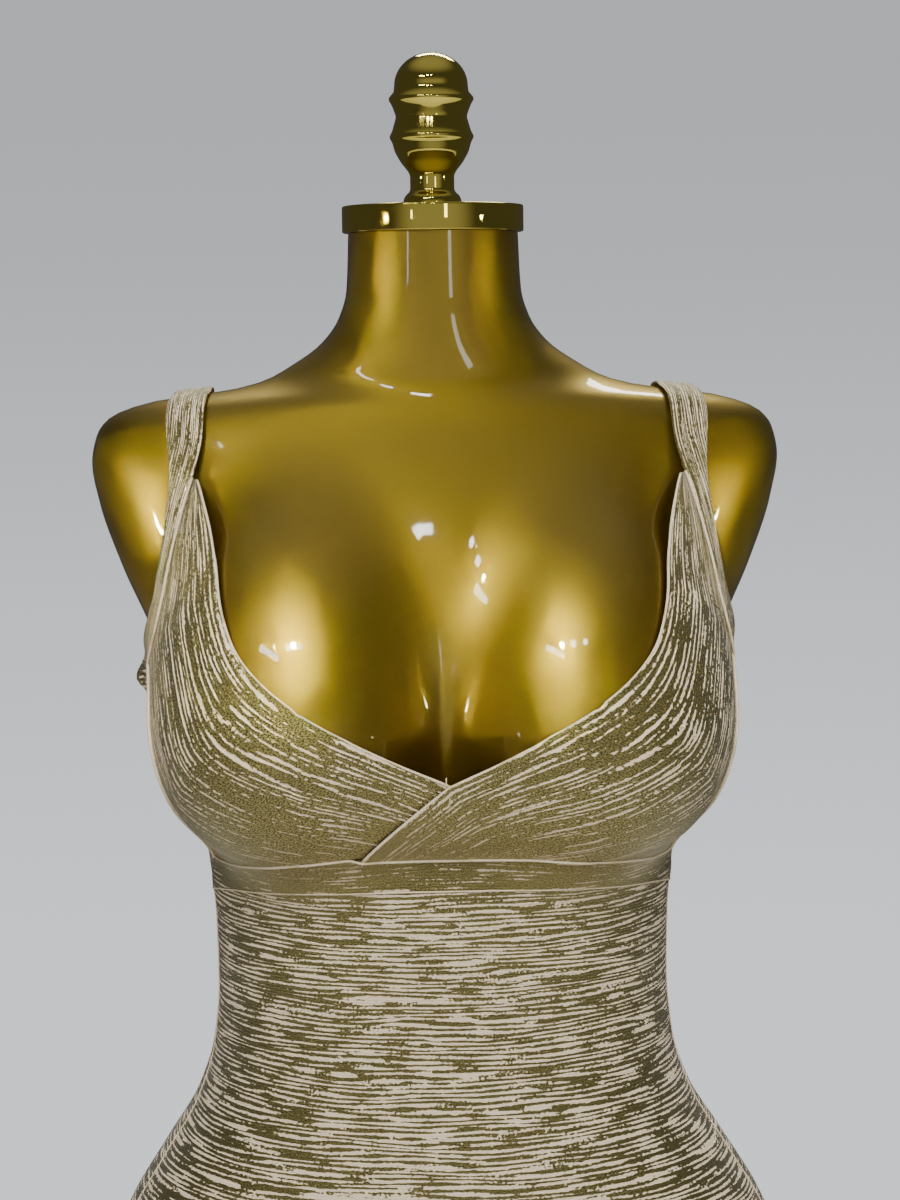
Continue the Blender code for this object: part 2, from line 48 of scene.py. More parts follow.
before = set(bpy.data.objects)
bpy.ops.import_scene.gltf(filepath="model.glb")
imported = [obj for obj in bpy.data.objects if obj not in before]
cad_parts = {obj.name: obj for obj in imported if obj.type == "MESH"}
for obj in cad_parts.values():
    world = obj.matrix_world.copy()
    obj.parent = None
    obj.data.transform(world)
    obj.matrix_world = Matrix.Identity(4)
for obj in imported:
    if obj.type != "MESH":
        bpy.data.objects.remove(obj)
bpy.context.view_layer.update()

GRAIN_MAP = "Grain"
BARE_SHARE = "Bare share"

# Sizes of the dress's walls, shared with the packed part
HEM = 0.520
WALL = 0.0015
LIFT = 0.0014
SEAM_GAP = 0.0003
FOLD_GAP = 0.0008
CROSSING_LIFT = WALL + 0.0008
CROSSING_RAMP = (44.0, 26.0)
BAND_LIFT = 0.0007
FORM_EASE = 0.0012
SHAPED_TOP = 0.060
TURN_SHARPNESS = 14
SHARP_DEGREES = 50

# Degrees between the back and the side seams, and between the straps and their seams
SIDE_GAP = 0.14
STRAP_GAP = 0.12

# Degrees by which the cups' outer cords and the skirt's side cords stand aside
CUP_CORD_ASIDE = -0.3
SKIRT_CORD_ASIDE = 0.06

# The share of the right neckline's cord that shows, and the degrees where the left cup's lap ends
NECKLINE_SHOWN = 0.86
LAP_END = (-24.0, -21.0)

# How worn the foil is, from 0 to 1. The cups have a value high up and one low down.
BACK_BARE = 0.50
STRAP_BARE = 0.50
BAND_BARE = 0.16
CUP_BARE = (0.39, 0.12)

# The cords and threads. Stout, slim and flat cords are shares of the seam width.
STITCH = 0.0018
STITCH_SWELL = 0.13
CORD_SIDES = 8
STOUT, SLIM, FLAT = 1.3, 0.8, 0.6
EDGE_HALF_HEIGHT = WALL / 2 + 0.0001
SIDE_CORD_LIFT = 0.0005
THREAD_HALF_WIDTH = 0.00028
THREAD_LIFT = 0.0004
THREAD_CURL = 0.0008
THREAD_BEND = 0.2

# The radius that level grain is wrapped round, and how much finer the grain is on the straps
GRAIN_RADIUS = 0.150
STRAP_FINENESS = 2.2

# Sizes of the form and its stand
FORM_BOTTOM = 0.700
FORM_TOP = 1.420
FORM_ROUND = 0.030
CAP_RADIUS = 0.0485
CAP_HEIGHT = 0.0142
CAP_ROUND = 0.0012
FINIAL_ROUND = 0.0016
FIT_GAP = 0.0003
FLANGE_HEIGHT = 0.008
SOCKET_RADIUS = 0.022
BASE_COVER = ((0.0, 0.034), (0.0225, 0.034), (0.032, 0.020), (0.045, 0.015))
BASE_RIM = 0.010
FLOOR_RADIUS = 2.1
FLOOR_HEIGHT = -0.0005
FLOOR_SIDES = 96

# One row for each section of the figure, bottom to top: an oval about the stand's axis
Section = namedtuple("Section", "height width front back")
FIGURE = [Section(*row) for row in (
    (0.500, 0.1600, 0.0960, 0.1040),
    (0.600, 0.1690, 0.1010, 0.1120),
    (0.700, 0.1800, 0.1070, 0.1220),
    (0.790, 0.1890, 0.1120, 0.1330),
    (0.850, 0.1870, 0.1140, 0.1340),
    (0.887, 0.1730, 0.1120, 0.1270),
    (0.920, 0.1530, 0.1090, 0.1140),
    (0.953, 0.1330, 0.1035, 0.0980),
    (0.985, 0.1230, 0.0980, 0.0860),
    (1.020, 0.1200, 0.0940, 0.0810),
    (1.054, 0.1205, 0.0950, 0.0820),
    (1.085, 0.1235, 0.0985, 0.0860),
    (1.120, 0.1290, 0.1040, 0.0920),
    (1.160, 0.1380, 0.1080, 0.0980),
    (1.195, 0.1500, 0.1070, 0.1010),
    (1.2145, 0.1575, 0.1045, 0.1010),
    (1.2445, 0.1705, 0.0960, 0.0975),
    (1.2785, 0.1820, 0.0820, 0.0890),
    (1.300, 0.1857, 0.0710, 0.0790),
    (1.315, 0.1828, 0.0630, 0.0690),
    (1.324, 0.1757, 0.0585, 0.0630),
    (1.330, 0.1615, 0.0560, 0.0600),
    (1.3335, 0.1460, 0.0545, 0.0580),
    (1.336, 0.1240, 0.0535, 0.0565),
    (1.339, 0.1060, 0.0525, 0.0550),
    (1.343, 0.0920, 0.0515, 0.0540),
    (1.350, 0.0790, 0.0507, 0.0530),
    (1.362, 0.0620, 0.0500, 0.0520),
    (1.375, 0.0525, 0.0490, 0.0505),
    (1.390, 0.0480, 0.0475, 0.0480),
    (1.420, 0.0465, 0.0465, 0.0465),
)]
OVAL_POWER = 2.2

# The bust is a pair of swells, smooth and alike, whose upper part leans back to the chest
BUST_OUT = 0.0740
BUST_FORWARD = 0.0640
BUST_HEIGHT = 1.1690
BUST_HALF_WIDTH = 0.0758
BUST_DEPTH = 0.0860
BUST_LOWER = 0.0780
BUST_UPPER = 0.1250
BUST_LEAN = 0.22
BUST_REACH = 0.018

# A soft, shallow fold between the shoulder and the chest
FOLD_OUT = 0.122
FOLD_WIDTH = 0.020
FOLD_DEPTH = 0.006
FOLD_LOW = 1.190
FOLD_HIGH = 1.335

# The cloth spans the figure's hollows more softly, and taut from one side of the bust to the other
CLOTH_REACH = 0.026
BRIDGE_SAG = 0.010
BRIDGE_REACH = 0.004

# Edges of the pieces on the +X side. Rows are the angle from the front in degrees, and the height.
NECKLINE = (
    (64.4, 1.2926), (60.2, 1.2790), (54.3, 1.2620), (49.2, 1.2480), (43.4, 1.2280), (38.5, 1.2115),
    (33.2, 1.1980), (26.5, 1.1838), (18.0, 1.1690), (9.5, 1.1570), (0.0, 1.1465),
)
CROSSING = ((0.0, 1.1465), (-9.0, 1.1300), (-20.85, 1.1077))
STRAP_SEAM = (
    (65.2, 1.2936), (64.3, 1.2760), (63.6, 1.2540), (63.2, 1.2330), (63.9, 1.2190), (66.0, 1.2060),
    (68.5, 1.1975),
)
STRAP_OUTER = (
    (69.4, 1.2960), (67.8, 1.2785), (66.9, 1.2560), (67.4, 1.2350), (70.4, 1.2215), (76.0, 1.2105),
    (82.0, 1.2045),
)
SIDE_SEAM = (
    (68.5, 1.1975), (63.2, 1.1860), (60.6, 1.1740), (59.0, 1.1590), (58.8, 1.1430), (60.0, 1.1280),
    (62.5, 1.1150), (66.0, 1.1045), (69.5, 1.0950),
)
BAND_END = ((69.5, 1.0950), (75.0, 1.0875), (80.0, 1.0790), (83.0, 1.0700))
UNDER_SEAM = (
    (0.0, 1.1068), (10.0, 1.1072), (20.85, 1.1077), (28.0, 1.1068), (37.0, 1.1042), (47.0, 1.1010),
    (58.0, 1.0978), (69.5, 1.0950),
)
BAND_LINE = ((0.0, 1.0852), (35.0, 1.0845), (60.0, 1.0790), (83.0, 1.0700))
BACK_EDGE = (
    (68.5, 1.1975), (82.0, 1.2037), (92.0, 1.2080), (102.0, 1.2140), (112.0, 1.2250),
    (121.0, 1.2400), (135.0, 1.2440), (150.0, 1.2330), (165.0, 1.2265), (180.0, 1.2250),
)

# Over the shoulder the strap's two edges are given as points, front to back
Strap = namedtuple("Strap", "inner_x inner_y inner_z outer_x outer_y outer_z")
STRAP_OVER = [Strap(*row) for row in (
    (0.1212, -0.0495, 1.3130, 0.1389, -0.0425, 1.3130),
    (0.1191, -0.0345, 1.3290, 0.1387, -0.0290, 1.3280),
    (0.1188, -0.0150, 1.3360, 0.1387, -0.0130, 1.3335),
    (0.1188, 0.0080, 1.3360, 0.1387, 0.0080, 1.3335),
    (0.1182, 0.0280, 1.3300, 0.1382, 0.0280, 1.3270),
    (0.1165, 0.0460, 1.3130, 0.1365, 0.0450, 1.3090),
    (0.1125, 0.0640, 1.2880, 0.1325, 0.0600, 1.2850),
    (0.1060, 0.0770, 1.2650, 0.1260, 0.0690, 1.2620),
    (0.0975, 0.0880, 1.2446, 0.1180, 0.0750, 1.2416),
)]
SHOULDER_HEART = np.array((0.090, 0.0, 1.240))

# Small gathers of spare cloth behind the underarm seams, and the stray ends of sewing thread
Tuck = namedtuple("Tuck", "degrees height out")
TUCKS = (Tuck(280.5, 1.1885, 0.0082), Tuck(79.5, 1.1920, 0.0024))
TUCK_WIDTH = 5.2
TUCK_HEIGHT = 0.0088
PLEAT_PITCH = 3.1
PLEAT_DEPTH = 0.45
Thread = namedtuple("Thread", "name node from_degrees from_height to_degrees to_height")
THREAD_ENDS = [Thread(*row) for row in (
    ("thread_end_neckline", "cup_left", -1.1, 1.1472, -0.5, 1.1522),
    ("thread_end_cup", "cup_left", 0.2, 1.1424, -0.1, 1.1380),
    ("thread_end_band", "underbust_band", -3.8, 1.1045, -2.7, 1.1012),
)]

# Rows of the packed part's grids, along which its corners lie
STRAP_SEAM_ROWS = 8
SIDE_SEAM_ROWS = 8
UNDER_SEAM_ROWS = 13
CUP_ROWS = STRAP_SEAM_ROWS + SIDE_SEAM_ROWS + UNDER_SEAM_ROWS
CROSSING_ROWS = 5
STRAP_OVER_ROWS = 22
NORMAL_STEP = 0.002
SEARCH_STEPS = 26

# Height above the neck cap and radius of the finial, from its foot to its dome
FINIAL = (
    (0.0, 0.0159), (0.0045, 0.0150), (0.0074, 0.0118), (0.0158, 0.0118), (0.0180, 0.0130),
    (0.0228, 0.0168), (0.0282, 0.0198), (0.0330, 0.0210), (0.0359, 0.0228), (0.0385, 0.0212),
    (0.0466, 0.0188), (0.0530, 0.0212), (0.0558, 0.0231), (0.0595, 0.0200), (0.0628, 0.0196),
)
FINIAL_HEIGHT = 0.0801

# The camera: its place round the axis, its height and where it looks
CAMERA_DISTANCE = 1.36
CAMERA_HEIGHT = 1.374
CAMERA_AZIMUTH = -1.7
CAMERA_HEADING = 1.982
CAMERA_PITCH = -6.35
CAMERA_ROLL = -0.72
CAMERA_LENS = 75.6

# The lamps, and where each is aimed. One with a narrow beam is gridded, and its light is warm. One
# that isn't mirrored lights the cloth but isn't seen in the gold.
Lamp = namedtuple("Lamp", "name x y z aim_x aim_z width height beam watts mirrored")
LAMPS = [Lamp(*row) for row in (
    ("long ceiling strip", -0.74, -1.20, 2.30, 0.0, 1.20, 0.48, 0.065, 180, 1.8, True),
    ("middle ceiling strip", -0.28, -1.20, 2.30, 0.0, 1.20, 0.13, 0.07, 180, 0.8, True),
    ("short ceiling strip", -0.02, -1.20, 2.30, 0.0, 1.20, 0.09, 0.05, 180, 0.5, True),
    ("gridded lamp left", -0.18, -1.24, 2.36, -0.072, 1.155, 0.12, 0.05, 6, 0.028, True),
    ("gridded lamp right", -0.58, -1.22, 2.36, 0.065, 1.160, 0.12, 0.05, 6, 0.025, True),
    ("side lamp left", -1.75, -0.95, 1.40, -0.17, 1.285, 0.10, 0.20, 7, 0.055, True),
    ("side lamp right", 1.75, -0.95, 1.40, 0.17, 1.285, 0.10, 0.20, 7, 0.025, True),
    ("tall lamp right", 0.52, -2.00, 1.64, 0.0, 1.20, 0.12, 0.34, 180, 0.7, True),
    ("tall lamp left", -0.95, -1.80, 1.54, 0.0, 1.20, 0.05, 0.16, 180, 0.2, True),
    ("soft front", -0.10, -2.00, 2.40, 0.0, 1.00, 1.20, 1.00, 180, 55.0, False),
    ("soft left", -2.20, -0.20, 2.10, 0.0, 1.20, 1.20, 1.00, 180, 3.0, False),
    ("soft right", 2.20, -0.40, 2.00, 0.0, 1.20, 1.20, 1.00, 180, 10.0, False),
    ("soft back", 0.30, 2.40, 1.80, 0.0, 1.10, 1.60, 1.20, 180, 34.0, False),
    ("soft overhead", 0.0, 0.30, 3.20, 0.0, 1.10, 2.00, 2.00, 180, 14.0, False),
    ("back ceiling strip", 0.20, 1.40, 2.60, 0.0, 1.20, 1.00, 0.40, 180, 16.0, True),
)]
AIM_Y = -0.10
WIDE_BEAM = 90
GRID_COLOR = (1.0, 0.95, 0.50)


# Curves and the figure

def smooth_curve(places, values):
    """A cubic through the values that never swings past them, as a function of the place."""
    places, values = np.array((places, values), float)
    gaps = np.diff(places)
    steps = np.diff(values) / gaps
    before, after = steps[:-1], steps[1:]
    rising = before * after > 0
    before, after = np.where(rising, (before, after), 1.0)
    weight = (2 * gaps[1:] + gaps[:-1]) / before + (gaps[1:] + 2 * gaps[:-1]) / after
    inner = np.where(rising, 3 * (gaps[1:] + gaps[:-1]) / weight, 0.0)
    slopes = np.concatenate((steps[:1], inner, steps[-1:]))

    def value(place):
        place = np.clip(place, places[0], places[-1])
        i = np.clip(np.searchsorted(places, place, side="right") - 1, 0, len(gaps) - 1)
        t = (place - places[i]) / gaps[i]
        rise = t * t * (3 - 2 * t)
        leave = t * (1 - t) ** 2 * gaps[i] * slopes[i]
        arrive = t * t * (t - 1) * gaps[i] * slopes[i + 1]
        return values[i] + rise * (values[i + 1] - values[i]) + leave + arrive

    return value


def by_place(table):
    """The rows (place, value) of a table as a smooth function of the place."""
    return smooth_curve(*zip(*sorted(table)))


def by_row(table):
    """The rows of a table as a smooth path: a function of 0 to 1 that gives its columns."""
    places = np.linspace(0, 1, len(table))
    curves = [smooth_curve(places, column) for column in zip(*table)]
    return lambda t: tuple(curve(t) for curve in curves)


def mix(start, end, share):
    return start + (end - start) * share


def ease(start, end, value):
    """0 at start, 1 at end and level at both."""
    t = np.clip((value - start) / (end - start), 0.0, 1.0)
    return t * t * (3 - 2 * t)


FIGURE_AT = {
    name: smooth_curve([row.height for row in FIGURE], [getattr(row, name) for row in FIGURE])
    for name in Section._fields[1:]
}
SIDE_ANGLE = BAND_END[-1][0]
side_seam_spot = by_row(SIDE_SEAM)
band_end_spot = by_row(BAND_END)
under_height = by_place(UNDER_SEAM)
band_height = by_place(BAND_LINE)
back_height = by_place(BACK_EDGE)
neckline_spot = by_row(NECKLINE)
crossing_spot = by_row(CROSSING)
strap_seam_spot = by_row(STRAP_SEAM)
strap_outer_spot = by_row(STRAP_OUTER)


def soft_min(first, second, reach):
    """The smaller of two distances, with the hollow between their surfaces rounded."""
    overlap = np.maximum(reach - np.abs(first - second), 0.0) / reach
    return np.minimum(first, second) - overlap * overlap * reach / 4


def trunk_radius(angle, height):
    """Distance from the axis to the plain oval trunk."""
    depth = np.where(np.cos(angle) > 0, FIGURE_AT["front"](height), FIGURE_AT["back"](height))
    across = np.abs(np.sin(angle)) / FIGURE_AT["width"](height)
    along = np.abs(np.cos(angle)) / depth
    return (across ** OVAL_POWER + along ** OVAL_POWER) ** (-1 / OVAL_POWER)


def bust_rise(height):
    """How far a height is above the bust's middle, and its share of the swell there."""
    above = np.maximum(height - BUST_HEIGHT, 0.0)
    return above, (height - BUST_HEIGHT) / np.where(above > 0, BUST_UPPER, BUST_LOWER)


def bust_gap(out, forward, height):
    """Signed distance to the nearer swell of the bust, from a point this far out and forward."""
    above, rise = bust_rise(height)
    across = (out - BUST_OUT) / BUST_HALF_WIDTH
    along = (forward - BUST_FORWARD + BUST_LEAN * above) / BUST_DEPTH
    return (np.sqrt(across ** 2 + along ** 2 + rise ** 2) - 1) * BUST_HALF_WIDTH


def form_gap(angle, height, radius, trunk):
    """Signed distance from points to the form's surface, where the trunk's radius is known."""
    out = radius * np.abs(np.sin(angle))
    forward = radius * np.cos(angle)
    share = np.clip((height - FOLD_LOW) / (FOLD_HIGH - FOLD_LOW), 0.0, 1.0)
    fold = FOLD_DEPTH * np.sin(np.pi * share) ** 2 * np.exp(-((out - FOLD_OUT) / FOLD_WIDTH) ** 2)
    side = radius - trunk + np.where(forward > 0, fold, 0.0)
    return soft_min(side, bust_gap(out, forward, height), BUST_REACH)


def cloth_gap(angle, height, radius, trunk):
    """Signed distance from points to the surface that the cloth is lifted from."""
    out = radius * np.abs(np.sin(angle))
    forward = radius * np.cos(angle)
    gap = soft_min(radius - trunk, bust_gap(out, forward, height), CLOTH_REACH)
    above, rise = bust_rise(height)
    bulge = np.sqrt(np.maximum(1 - rise * rise, 0.0))
    front = BUST_FORWARD - BUST_LEAN * above + BUST_DEPTH * bulge
    sag = BRIDGE_SAG * (1 - np.minimum(out / BUST_OUT, 1.0) ** 2) ** 2
    spanned = (forward > 0) & (out < BUST_OUT) & (np.abs(rise) < 1)
    return np.where(spanned, soft_min(gap, forward - front + sag, BRIDGE_REACH), gap)


def ray_lengths(gap_at, far):
    """Where rays leave a surface, found by halving. gap_at gives the gap at each ray's length."""
    near = np.zeros_like(far)
    for halving in range(SEARCH_STEPS):
        middle = (near + far) / 2
        inside = gap_at(middle) < 0
        near = np.where(inside, middle, near)
        far = np.where(inside, far, middle)
    return near


def surface_points(gap_at, angle, height):
    """The points where rays from the axis leave a surface."""
    trunk = trunk_radius(angle, height)
    far = 2 * FIGURE_AT["width"](height) + 0 * trunk
    radius = ray_lengths(lambda length: gap_at(angle, height, length, trunk), far)
    return np.stack((radius * np.sin(angle), -radius * np.cos(angle), height + 0 * radius), -1)


def gap_at_points(gap_at, points):
    x, y, height = np.moveaxis(points, -1, 0)
    angle = np.arctan2(x, -y)
    return gap_at(angle, height, np.hypot(x, y), trunk_radius(angle, height))


def normals_at(gap_at, points):
    """The surface's outward normals near the points."""
    slope = np.stack([
        gap_at_points(gap_at, points + step) - gap_at_points(gap_at, points - step)
        for step in np.eye(3) * NORMAL_STEP
    ], -1)
    return slope / np.linalg.norm(slope, axis=-1, keepdims=True)


def on_cloth(degrees, height):
    """Points of the cloth's underlying surface, and the normals there."""
    degrees, height = np.broadcast_arrays(np.asarray(degrees, float), np.asarray(height, float))
    points = surface_points(cloth_gap, np.radians(degrees), height)
    return points, normals_at(cloth_gap, points)


def settled(aims):
    """Points on the rays from the shoulder's heart through the aims, on the cloth's surface."""
    rays = aims - SHOULDER_HEART
    rays = rays / np.linalg.norm(rays, axis=-1, keepdims=True)

    def points_at(length):
        return SHOULDER_HEART + rays * length[..., None]

    far = np.full(rays.shape[:-1], FIGURE_AT["width"](SHOULDER_HEART[2]))
    points = points_at(ray_lengths(lambda length: gap_at_points(cloth_gap, points_at(length)), far))
    return points, normals_at(cloth_gap, points)


# Meshes

def add_object(name, data):
    item = bpy.data.objects.new(name, data)
    bpy.context.scene.collection.objects.link(item)
    return item


def add_mesh(name, points, faces, material, grain=None, bare=None):
    """A smooth mesh that rides on the part. grain gives each vertex its place on the flat cloth,
    and bare how much of the foil is gone there: worn away, and on the front panel also thinned down
    the middle as a painted highlight."""
    mesh = bpy.data.meshes.new(name)
    mesh.from_pydata(points.reshape(-1, 3).tolist(), [], faces)
    if grain is not None:
        corners = np.empty(len(mesh.loops), np.int32)
        mesh.loops.foreach_get("vertex_index", corners)
        layer = mesh.uv_layers.new(name=GRAIN_MAP)
        layer.data.foreach_set("uv", grain.reshape(-1, 2)[corners].astype(np.float32).ravel())
    if bare is not None:
        wear_and_highlight = mesh.attributes.new(BARE_SHARE, "FLOAT", "POINT")
        wear_and_highlight.data.foreach_set("value", bare.astype(np.float32))
    shape = bmesh.new()
    shape.from_mesh(mesh)
    bmesh.ops.recalc_face_normals(shape, faces=shape.faces)
    if shape.calc_volume(signed=True) < 0:
        bmesh.ops.reverse_faces(shape, faces=shape.faces)
    shape.to_mesh(mesh)
    shape.free()
    mesh.materials.append(material)
    mesh.shade_smooth()
    mesh.set_sharp_from_angle(angle=math.radians(SHARP_DEGREES))
    item = add_object(name, mesh)
    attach(item, "root")
    return item


def grid_faces(index):
    """The quads of a grid of vertex numbers."""
    corners = index[:-1, :-1], index[:-1, 1:], index[1:, 1:], index[1:, :-1]
    return np.stack(corners, -1).reshape(-1, 4)


def ring_faces(rows, columns):
    """The quads between closed rings of vertices, stored ring by ring."""
    index = np.arange(rows * columns).reshape(rows, columns)
    return grid_faces(np.hstack((index, index[:, :1]))).tolist()


def tube_faces(rows, columns):
    """The faces of a tube of closed rings, with a flat face over each end."""
    last = (rows - 1) * columns
    return ring_faces(rows, columns) + [list(range(columns)), list(range(last, last + columns))]


def add_cloth(node, points, normals, lift, grain, bare, side=1, turned=0.0):
    """A closed wall of cloth over its grid of surface points. turned is the share of the wall by
    which its outer face turns in along both sides."""
    points, normals = mirrored(points, side), mirrored(normals, side)
    rows, columns = points.shape[:2]
    bare = np.broadcast_to(bare, (rows, columns)).ravel()
    lift = np.broadcast_to(np.asarray(lift, float), (rows, columns))[..., None]
    across = np.linspace(-1, 1, columns)[None, :, None]
    turn = WALL * turned * np.abs(across) ** TURN_SHARPNESS
    walls = points + normals * (lift + WALL) - normals * turn, points + normals * lift
    count = rows * columns
    index = np.arange(count).reshape(rows, columns)
    quads = grid_faces(index)
    rim = np.concatenate((index[0], index[1:, -1], index[-1, -2::-1], index[-2:0:-1, 0]))
    after = np.roll(rim, -1)
    edges = np.stack((rim, rim + count, after + count, after), -1)
    faces = np.concatenate((quads, quads[:, ::-1] + count, edges)).tolist()
    item = add_mesh(
        node + "_cloth", np.stack(walls), faces, cloth_material(),
        np.stack((grain, grain)), np.tile(bare, 2),
    )
    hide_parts(node)
    return item


def grain_along(points, shift):
    """Each point's place on flat cloth that is laid along the grid's first column. shift sets the
    piece's streaks apart from the others'."""
    steps = np.linalg.norm(np.diff(points[:, 0], axis=0), axis=-1)
    along = np.concatenate(([0.0], np.cumsum(steps)))[:, None] + 0 * points[..., 0]
    widths = np.linalg.norm(np.diff(points, axis=1), axis=-1)
    across = np.concatenate((np.zeros((len(points), 1)), np.cumsum(widths, axis=1)), axis=1)
    return np.stack((along + shift, across + shift), -1)


def grain_round(degrees, height, shift):
    """Each point's place on flat cloth that is wrapped level round the figure."""
    return np.stack((np.radians(degrees) * GRAIN_RADIUS + shift, height + 0 * degrees + shift), -1)


def mirrored(values, side):
    return values * np.array((side, 1.0, 1.0))


def evenly(points, normals, step):
    """A path's points and normals, one for each step of its length."""
    lengths = np.concatenate(([0.0], np.cumsum(np.linalg.norm(np.diff(points, axis=0), axis=-1))))
    places = np.linspace(0, lengths[-1], max(int(lengths[-1] / step), 2) + 1)
    points, normals = (
        np.stack([np.interp(places, lengths, column) for column in rows.T], -1)
        for rows in (points, normals)
    )
    return points, normals, places


def add_seam(name, node, points, normals, half_width, half_height):
    """A fine corded seam along a path, with the slanted swell of each of its stitches."""
    points, normals, places = evenly(points, normals, STITCH / 4)
    tangents = np.gradient(points, axis=0)
    sides = np.cross(tangents, normals)
    sides /= np.linalg.norm(sides, axis=-1, keepdims=True)
    turn = np.linspace(0, 2 * np.pi, CORD_SIDES, endpoint=False)
    grain = np.stack(np.meshgrid(places, turn * half_width, indexing="ij"), -1)
    turn = turn[None, :, None]
    swell = 1 + STITCH_SWELL * np.sin(2 * np.pi * places[:, None, None] / STITCH + turn)
    ring = sides[:, None] * np.cos(turn) * half_width + normals[:, None] * np.sin(turn) * half_height
    rings = points[:, None] + ring * swell
    add_mesh(name, rings, tube_faces(len(places), CORD_SIDES), seam_material(), grain)


def add_turned(name, node, profile, steps):
    """A plated solid turned from rows of (radius, height), top to bottom, from axis to axis."""
    rows = np.array(profile, float)
    turn = np.linspace(0, 2 * np.pi, steps, endpoint=False)
    body = rows[1:-1]
    rings = np.stack((
        body[:, :1] * np.sin(turn), body[:, :1] * np.cos(turn), body[:, 1:] + 0 * turn,
    ), -1)
    top = len(body) * steps
    last = top - steps
    faces = ring_faces(len(body), steps)
    faces += [((k + 1) % steps, k, top) for k in range(steps)]
    faces += [(last + k, last + (k + 1) % steps, top + 1) for k in range(steps)]
    poles = ((0.0, 0.0, rows[0, 1]), (0.0, 0.0, rows[-1, 1]))
    points = np.concatenate((rings.reshape(-1, 3), poles))
    item = add_mesh(name, points, faces, plating_material())
    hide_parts(node)


# Materials

def made_once(name):
    """Turns a function that sets up a shader into one that gives the named material."""
    def wrap(set_up):
        def material():
            if name not in bpy.data.materials:
                fresh = bpy.data.materials.new(name)
                fresh.use_nodes = True
                set_up(fresh.node_tree, fresh.node_tree.nodes["Principled BSDF"])
            return bpy.data.materials[name]
        return material
    return wrap


def set_inputs(tree, item, inputs):
    """Sets a node's inputs, each to a value or to another node's output."""
    for name, value in inputs.items():
        if isinstance(value, bpy.types.NodeSocket):
            tree.links.new(value, item.inputs[name])
        else:
            item.inputs[name].default_value = value


def add_node(tree, kind, inputs=None, **settings):
    """A shader node with its settings and inputs."""
    item = tree.nodes.new("ShaderNode" + kind)
    for name, value in settings.items():
        setattr(item, name, value)
    set_inputs(tree, item, inputs or {})
    return item


def reckon(tree, operation, *values):
    """A math node's result."""
    return add_node(tree, "Math", dict(enumerate(values)), operation=operation).outputs[0]


def rise(tree, value, low, high):
    """0 below low and 1 above high, with a smooth rise between."""
    inputs = {"Value": value, "From Min": low, "From Max": high}
    return add_node(tree, "MapRange", inputs, interpolation_type="SMOOTHSTEP").outputs["Result"]


def streaks(tree, place, along, across, detail=2.0, roughness=0.5):
    """Noise drawn out along the cloth's grain. along and across are its counts for each metre."""
    spread = add_node(tree, "VectorMath", {0: place, 1: (along, across, 1.0)}, operation="MULTIPLY")
    inputs = {"Vector": spread.outputs[0], "Scale": 1.0, "Detail": detail, "Roughness": roughness}
    return add_node(tree, "TexNoise", inputs, noise_dimensions="2D").outputs[0]


def clouds(tree, scale, detail):
    """Plain noise in the object's own space."""
    place = add_node(tree, "TexCoord").outputs["Object"]
    return add_node(tree, "TexNoise", {"Vector": place, "Scale": scale, "Detail": detail}).outputs[0]


def relief(tree, height, strength, distance):
    """Normals that follow a fine relief, which is distance deep in metres."""
    inputs = {"Height": height, "Strength": strength, "Distance": distance}
    return add_node(tree, "Bump", inputs).outputs[0]


def mix_color(tree, share, *colors):
    """A mix of two colours. Each is another node's output, or red, green and blue."""
    ends = [c if isinstance(c, bpy.types.NodeSocket) else (*c, 1.0) for c in colors]
    item = add_node(tree, "Mix", {"Factor": share, 6: ends[0], 7: ends[1]}, data_type="RGBA")
    return item.outputs[2]


